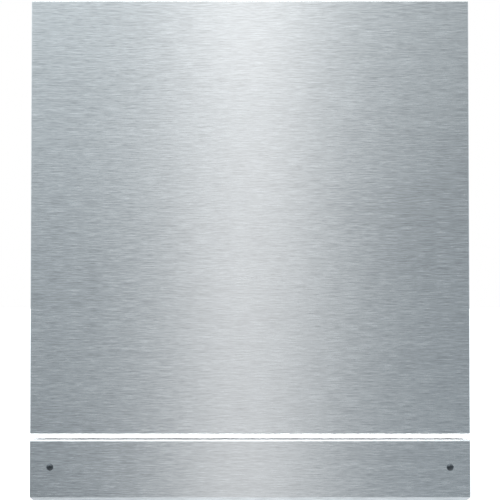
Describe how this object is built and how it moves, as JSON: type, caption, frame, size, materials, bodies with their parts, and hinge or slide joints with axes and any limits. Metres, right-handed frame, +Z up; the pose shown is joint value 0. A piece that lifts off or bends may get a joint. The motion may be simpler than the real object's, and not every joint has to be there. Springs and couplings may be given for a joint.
{
  "type": "built-in dishwasher",
  "caption": "Fully integrated 60 cm dishwasher with a flat brushed steel door front and matching steel plinth, drop-down door, two sliding racks and spray arms.",
  "frame": {"origin": "on the floor under the middle of the machine's footprint", "axes": "+X to the user's right, +Y to the back of the niche, +Z up; the door front faces -Y"},
  "size_m": [0.598, 0.5699, 0.692],
  "materials": {
    "brushed_steel": "horizontally brushed stainless steel",
    "tub_steel": "satin stainless sheet",
    "zinc_sheet": "galvanised sheet",
    "dark_screw": "dark plated screw",
    "bright_wire": "bright spring wire and rail",
    "white_plastic": "white moulded plastic",
    "grey_plastic": "grey moulded plastic",
    "light_grey_plastic": "light grey moulded plastic",
    "dark_plastic": "dark gloss plastic",
    "button_steel": "satin metal button caps",
    "blue_plastic": "blue cap",
    "seal_rubber": "grey rubber gasket",
    "white_lip": "white wiper lip",
    "fleece": "dark needled fleece",
    "rack_coat": "grey coated steel wire"
  },
  "bodies": {
    "cabinet": {"base_pan": "white_plastic", "side_panel_left": "zinc_sheet", "side_panel_right": "zinc_sheet", "hinge_bracket_left": "zinc_sheet", "hinge_bracket_right": "zinc_sheet", "door_spring_left": "bright_wire", "door_spring_right": "bright_wire", "plinth_screw_left": "dark_screw", "plinth_screw_right": "dark_screw", "plinth_bracket_left": "zinc_sheet", "plinth_bracket_right": "zinc_sheet", "outer_rail_left": "bright_wire", "outer_rail_right": "bright_wire", "insulation_blanket": "fleece", "top_brace": "zinc_sheet", "tub": "tub_steel", "tub_gasket": "seal_rubber", "sump": "grey_plastic", "filter_plate": "tub_steel", "softener_tank": "light_grey_plastic", "water_feed_tube": "light_grey_plastic", "circulation_pump": "dark_plastic", "drain_pump": "grey_plastic", "inlet_valve": "white_plastic", "drain_outlet": "grey_plastic", "mains_inlet": "dark_plastic", "plinth_panel": "brushed_steel", "gap_seal_strip": "white_lip"},
    "door": {"door_front_panel": "brushed_steel", "door_shell": "zinc_sheet", "door_liner": "tub_steel", "control_strip": "dark_plastic", "door_latch": "dark_plastic", "detergent_dispenser": "grey_plastic", "hinge_arm_left": "zinc_sheet", "hinge_arm_right": "zinc_sheet"},
    "power_button": {"power_button": "button_steel"},
    "program_button": {"program_button": "button_steel"},
    "start_button": {"start_button": "button_steel"},
    "detergent_lid": {"detergent_lid": "white_plastic"},
    "rinse_aid_cap": {"rinse_aid_cap": "blue_plastic"},
    "filter_cylinder": {"filter_cylinder": "grey_plastic"},
    "salt_cap": {"salt_cap": "white_plastic"},
    "lower_spray_arm": {"lower_spray_arm": "light_grey_plastic"},
    "top_spray_arm": {"top_spray_arm": "light_grey_plastic"},
    "inner_rails": {"inner_rail_left": "bright_wire", "inner_rail_right": "bright_wire"},
    "upper_rack": {"upper_rack": "rack_coat", "upper_arm_duct": "light_grey_plastic"},
    "upper_spray_arm": {"upper_spray_arm": "light_grey_plastic"},
    "lower_rack": {"lower_rack": "rack_coat", "cutlery_basket": "light_grey_plastic"},
    "foot_front_left": {"foot_front_left": "dark_plastic"},
    "foot_front_right": {"foot_front_right": "dark_plastic"},
    "foot_rear_left": {"foot_rear_left": "dark_plastic"},
    "foot_rear_right": {"foot_rear_right": "dark_plastic"},
    "rack_wheel_front_left": {"rack_wheel_front_left": "light_grey_plastic"},
    "rack_wheel_front_right": {"rack_wheel_front_right": "light_grey_plastic"},
    "rack_wheel_rear_left": {"rack_wheel_rear_left": "light_grey_plastic"},
    "rack_wheel_rear_right": {"rack_wheel_rear_right": "light_grey_plastic"}
  },
  "joints": [
    {"name": "door_hinge", "type": "hinge", "parent": "cabinet", "child": "door", "pos_m": [0, -0.258, 0.145], "axis": [1, 0, 0], "range_deg": [0, 90], "stiffness_Nm_per_rad": 16, "deforming": ["door_spring_left", "door_spring_right"]},
    {"name": "upper_rack_slide", "type": "slide", "parent": "cabinet", "child": "upper_rack", "axis": [0, -1, 0], "range_m": [0, 0.4556]},
    {"name": "inner_rails_slide", "type": "slide", "parent": "cabinet", "child": "inner_rails", "axis": [0, -1, 0], "range_m": [0, 0.2278]},
    {"name": "lower_rack_slide", "type": "slide", "parent": "cabinet", "child": "lower_rack", "axis": [0, -1, 0], "range_m": [0, 0.1885]},
    {"name": "lower_spray_arm_spin", "type": "hinge", "parent": "cabinet", "child": "lower_spray_arm", "pos_m": [0, 0.02, 0.193], "axis": [0, 0, 1], "continuous": true},
    {"name": "upper_spray_arm_spin", "type": "hinge", "parent": "upper_rack", "child": "upper_spray_arm", "pos_m": [0, 0.02, 0.45], "axis": [0, 0, 1], "continuous": true},
    {"name": "top_spray_arm_spin", "type": "hinge", "parent": "cabinet", "child": "top_spray_arm", "pos_m": [0, 0.02, 0.638], "axis": [0, 0, 1], "continuous": true},
    {"name": "filter_twist", "type": "hinge", "parent": "cabinet", "child": "filter_cylinder", "pos_m": [0.044, -0.006, 0.13], "axis": [0, 0, 1], "range_deg": [0, 90]},
    {"name": "salt_cap_twist", "type": "hinge", "parent": "cabinet", "child": "salt_cap", "pos_m": [0.17, 0.095, 0.15], "axis": [0, 0, 1], "range_deg": [0, 180]},
    {"name": "detergent_lid_slide", "type": "slide", "parent": "door", "child": "detergent_lid", "axis": [0, 0, 1], "range_m": [0, 0.072]},
    {"name": "rinse_aid_cap_twist", "type": "hinge", "parent": "door", "child": "rinse_aid_cap", "pos_m": [0.042, -0.238, 0.35], "axis": [0, 1, 0], "range_deg": [-90, 0]},
    {"name": "power_button_press", "type": "slide", "parent": "door", "child": "power_button", "axis": [0, 0, -1], "range_m": [0, 0.0015], "stiffness_N_per_m": 800},
    {"name": "program_button_press", "type": "slide", "parent": "door", "child": "program_button", "axis": [0, 0, -1], "range_m": [0, 0.0015], "stiffness_N_per_m": 800},
    {"name": "start_button_press", "type": "slide", "parent": "door", "child": "start_button", "axis": [0, 0, -1], "range_m": [0, 0.0015], "stiffness_N_per_m": 800},
    {"name": "foot_front_left_turn", "type": "hinge", "parent": "cabinet", "child": "foot_front_left", "pos_m": [-0.255, -0.205, 0.02], "axis": [0, 0, 1], "continuous": true},
    {"name": "foot_front_right_turn", "type": "hinge", "parent": "cabinet", "child": "foot_front_right", "pos_m": [0.255, -0.205, 0.02], "axis": [0, 0, 1], "continuous": true},
    {"name": "foot_rear_left_turn", "type": "hinge", "parent": "cabinet", "child": "foot_rear_left", "pos_m": [-0.255, 0.245, 0.02], "axis": [0, 0, 1], "continuous": true},
    {"name": "foot_rear_right_turn", "type": "hinge", "parent": "cabinet", "child": "foot_rear_right", "pos_m": [0.255, 0.245, 0.02], "axis": [0, 0, 1], "continuous": true},
    {"name": "rack_wheel_front_left_spin", "type": "hinge", "parent": "lower_rack", "child": "rack_wheel_front_left", "pos_m": [-0.263, -0.062, 0.1937], "axis": [1, 0, 0], "continuous": true},
    {"name": "rack_wheel_front_right_spin", "type": "hinge", "parent": "lower_rack", "child": "rack_wheel_front_right", "pos_m": [0.263, -0.062, 0.1937], "axis": [1, 0, 0], "continuous": true},
    {"name": "rack_wheel_rear_left_spin", "type": "hinge", "parent": "lower_rack", "child": "rack_wheel_rear_left", "pos_m": [-0.263, 0.172, 0.1937], "axis": [1, 0, 0], "continuous": true},
    {"name": "rack_wheel_rear_right_spin", "type": "hinge", "parent": "lower_rack", "child": "rack_wheel_rear_right", "pos_m": [0.263, 0.172, 0.1937], "axis": [1, 0, 0], "continuous": true}
  ],
  "couplings": [
    {"joint": "upper_rack_slide", "follows": "door_hinge", "m_per_rad": 0.29},
    {"joint": "inner_rails_slide", "follows": "door_hinge", "m_per_rad": 0.145},
    {"joint": "lower_rack_slide", "follows": "door_hinge", "m_per_rad": 0.12}
  ]
}
